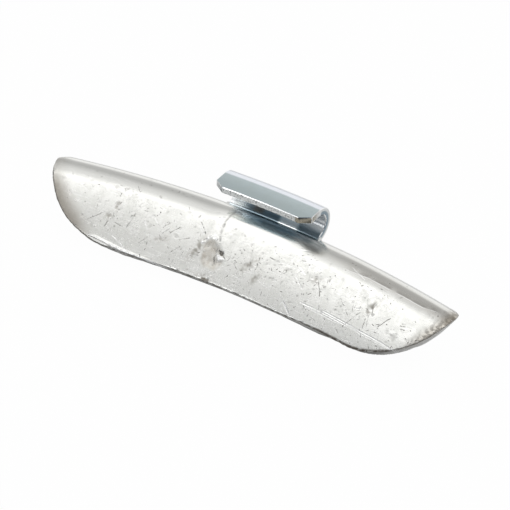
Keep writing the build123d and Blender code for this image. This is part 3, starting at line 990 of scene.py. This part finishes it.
# thickness, rounded edges and the key holes in the hidden tang
for metal in (steel, sheared, wornEdge):
    clip.data.materials.append(metal)
applyModifier(clip, 'SOLIDIFY', thickness=springClip["thickness"] * millimetre, offset=1.0,
              use_even_offset=True, material_offset_rim=1)
applyModifier(clip, 'BEVEL', width=springClip["edgeRound"] * millimetre, segments=1, limit_method='ANGLE',
              angle_limit=math.radians(springClip["bevelAngle"]), harden_normals=False, material=2)
keyFar = springClip["tangLength"] - springClip["keyInset"]
keyY, keyZ = tangStart[0] + keyFar * math.cos(tangLean), tangStart[1] - keyFar * math.sin(tangLean)
for side in (-0.5, 0.5):
    spot = Vector((springClip["middle"] + side * springClip["keySpacing"], keyY, keyZ)) * millimetre
    bpy.ops.mesh.primitive_cylinder_add(
        vertices=springClip["keySides"], radius=springClip["keyHole"] / 2 * millimetre,
        depth=springClip["keyCutter"] * millimetre, location=spot, rotation=(math.pi / 2 - tangLean, 0, 0))
    cutter = bpy.context.object
    applyModifier(clip, 'BOOLEAN', object=cutter, operation='DIFFERENCE', solver='EXACT')
    bpy.data.objects.remove(cutter)

# where the strip is stained or torn by the shears, and where light is painted on it: a lighter blue in the
# hollow as painted reflection, painted highlights on the bend, the shank and the hollow's ends, and painted
# shade on the shank
x, y, z = readPoints(clip).T
hookRadius = springClip["hookRadius"]
lipFront = springClip["hookY"] - springClip["lipLength"]
armY = y + x ** 2 / (2 * leadCasting["axleDistance"]) - springClip["hookY"]
armZ = z - springClip["hookZ"]
arm = np.hypot(armY, armZ)
hollow = ease(hookRadius + 0.5, hookRadius + 0.2, arm)
hollow = np.where(armY > -0.4, hollow, ease(0.3, 0.0, np.abs(armZ - hookRadius)))
onShank = ease(0.0, -0.5, armZ + hookRadius * 0.75)
# painted highlight: a bright streak on the shank, and painted reflections of the light at both ends of the
# hollow
shine = ease(2.2, 1.2, np.abs(x - 3.9)) * onShank
leftHollowHighlight = 0.8 * ease(-3.4, -6.4, x) * hollow
rightHollowHighlight = 0.9 * ease(3.4, 6.0, x) * hollow * (1 - onShank)
onCorner = ease(1.9, 1.5, np.hypot(x - 9.15, y - 1.9))
underLip = ease(1.6, 0.6, np.hypot(x + 2.2, (z - 9.4) * 1.5) + 9 * (armY < 0))
for name, values in (
        ("inside", hollow * (0.2 + 0.8 * ease(-8.0, -4.5, x)) * (1 - 0.3 * ease(1, 6, x))),
        ("bend", ease(0.0, 0.4, armY) * (arm > hookRadius + 0.7)),
        ("satin", hollow * ease(-6.4, -3.4, x)),
        ("torn", ease(hookRadius + 1.0, hookRadius + 0.3, arm) * ease(0.0, 0.6, armY) * (x > 9.0)),
        ("shine", np.max([shine, leftHollowHighlight, rightHollowHighlight], axis=0)),
        ("shade", onShank * (1 - shine) * (1 - leftHollowHighlight)),
        ("front", 0.8 * ease(lipFront + 1.6, lipFront + 1.2, y) * ease(-7.0, -6.4, x) + 0.1),
        ("dull", ease(-6.7, -7.1, x) * ease(lipFront + 1.7, lipFront + 1.3, y)),
        ("stain", np.maximum(onCorner, underLip))):
    writeMask(clip, name, values)
selectOnly(clip)
bpy.ops.object.shade_smooth_by_angle(angle=math.radians(springClip["smoothAngle"]))
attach(clip, "root")
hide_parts("spring_clip")
print("clip finished:", len(clip.data.polygons), "faces")

# the photograph's view: the pixel where a point of the weight is seen, and millimetres to a pixel there
camera = {"elevation": 38.55, "azimuth": 33.04, "distance": 497.0, "scale": 0.1665, "pixel": (268.5, 219.5),
          "point": (0.0, 5.06, 8.2), "frame": 510, "sensor": 36, "nearest": 0.01}


def addCamera():
    c = camera
    el, az = math.radians(c["elevation"]), math.radians(c["azimuth"])
    right = Vector((math.cos(az), math.sin(az), 0))
    back = Vector((math.sin(az) * math.cos(el), -math.cos(az) * math.cos(el), math.sin(el)))
    up = back.cross(right)
    across, low = [(pixel - c["frame"] / 2) * c["scale"] for pixel in c["pixel"]]
    target = Vector(c["point"]) - right * across + up * low
    bpy.ops.object.camera_add(location=(target + back * c["distance"]) * millimetre)
    shot = bpy.context.object
    shot.rotation_euler = back.to_track_quat('Z', 'Y').to_euler()
    shot.data.sensor_width = c["sensor"]
    shot.data.lens = c["sensor"] * c["distance"] / (c["frame"] * c["scale"])
    shot.data.clip_start = c["nearest"]
    scene.camera = shot


addCamera()


def mixShaders(share, first, second, output):
    mixer = setUp("MixShader")
    for socket, value in zip(mixer.inputs, (share, first.outputs[0], second.outputs[0])):
        links.new(value, socket)
    links.new(mixer.outputs[0], output.inputs[0])


# pale floor: white to the camera with a soft shadow left in it
floorPaper = {"size": 8.0, "colour": (0.92, 0.92, 0.92, 1), "rough": 0.9, "shine": 0.0,
              "whiteToCamera": 0.98, "whiteToGloss": 0.22}
bpy.ops.mesh.primitive_plane_add(size=floorPaper["size"])
floor = bpy.context.object
floor.name = "floor"
paper, shader = newMaterial("paleFloor")
fill(shader, Base_Color=floorPaper["colour"], Roughness=floorPaper["rough"],
     Specular_IOR_Level=floorPaper["shine"])
rays = setUp("LightPath").outputs
share = times(rays["Is Camera Ray"], floorPaper["whiteToCamera"])
share = sums('MULTIPLY_ADD', rays["Is Glossy Ray"], floorPaper["whiteToGloss"], share)
mixShaders(share, shader, setUp("Emission"), nodes["Material Output"])
floor.data.materials.append(paper)

# soft studio round the object: a light tent that is dim low at the front and at the left
studio = {
    # from front to back: direction, level
    "levels": [(-1.0, 0.56), (-0.46, 0.56), (-0.4, 0.66), (-0.36, 0.85), (-0.325, 1.2), (-0.29, 1.6),
               (-0.2, 1.6), (-0.1, 1.26), (0.04, 0.9), (0.18, 0.84), (0.32, 0.68), (0.46, 0.5), (0.6, 0.56),
               (0.68, 0.6), (0.8, 0.95), (1.0, 1.0)],
    "brightest": 1.6, "dimFront": (0.03, 0.04, 0.055, 1), "dimLeft": 0.2, "leftGain": 1.08, "sideFill": 0.4,
    # directions between which each part of the tent comes in
    "behind": (-0.06, 0.1), "overhead": (0.6, 0.78), "beside": (0.82, 0.95), "farLeft": (-0.95, -0.8),
    "left": (-0.6, -0.3),
}
scene.world = bpy.data.worlds.new("studio")
scene.world.use_nodes = True
openTree(scene.world.node_tree)
nodes.clear()
split = setUp("SeparateXYZ", Vector=setUp("TexCoord").outputs["Generated"]).outputs
ramp = setUp("ValToRGB")
frontToBack = setUp("MapRange", Value=split["Y"], From_Min=-1.0, From_Max=1.0)
links.new(frontToBack.outputs[0], ramp.inputs[0])
elements = ramp.color_ramp.elements
for y, level in studio["levels"]:
    where = (y + 1) / 2
    element = elements[0] if where == 0 else elements[-1] if where == 1 else elements.new(where)
    element.color = [level / studio["brightest"]] * 3 + [1]
behind = spread(split["Y"], *studio["behind"])
overhead = spread(split["Z"], *studio["overhead"])
beside = spread(sums('ABSOLUTE', split["X"]), *studio["beside"], 0.0, studio["sideFill"])
tone = blend(greatest(behind, overhead, beside), studio["dimFront"], ramp.outputs[0])
leftSide = spread(split["X"], *studio["farLeft"], studio["dimLeft"], 1.0)
leftSide = greatest(leftSide, sums('SUBTRACT', 1.0, behind))
tone = blend(1.0, tone, leftSide, 'MULTIPLY')
tone = blend(1.0, tone, spread(split["X"], *studio["left"], studio["leftGain"], 1.0), 'MULTIPLY')
tent = setUp("Background", Color=tone, Strength=studio["brightest"])
mixShaders(setUp("LightPath").outputs["Is Camera Ray"], tent, setUp("Background"),
           setUp("OutputWorld"))

# small lamp beside the camera, for glints in the dents and on the shank
lamp = {"direction": (-0.42, -0.725, 0.545), "distance": 0.6, "wide": 0.1, "tall": 0.3, "watts": 0.26}
spot = Vector(lamp["direction"]).normalized() * lamp["distance"]
bpy.ops.object.light_add(type='AREA', location=spot)
glint = bpy.context.object
glint.rotation_euler = spot.to_track_quat('Z', 'Y').to_euler()
glint.data.shape = 'RECTANGLE'
glint.data.size, glint.data.size_y = lamp["wide"], lamp["tall"]
glint.data.energy = lamp["watts"]
print("studio ready")
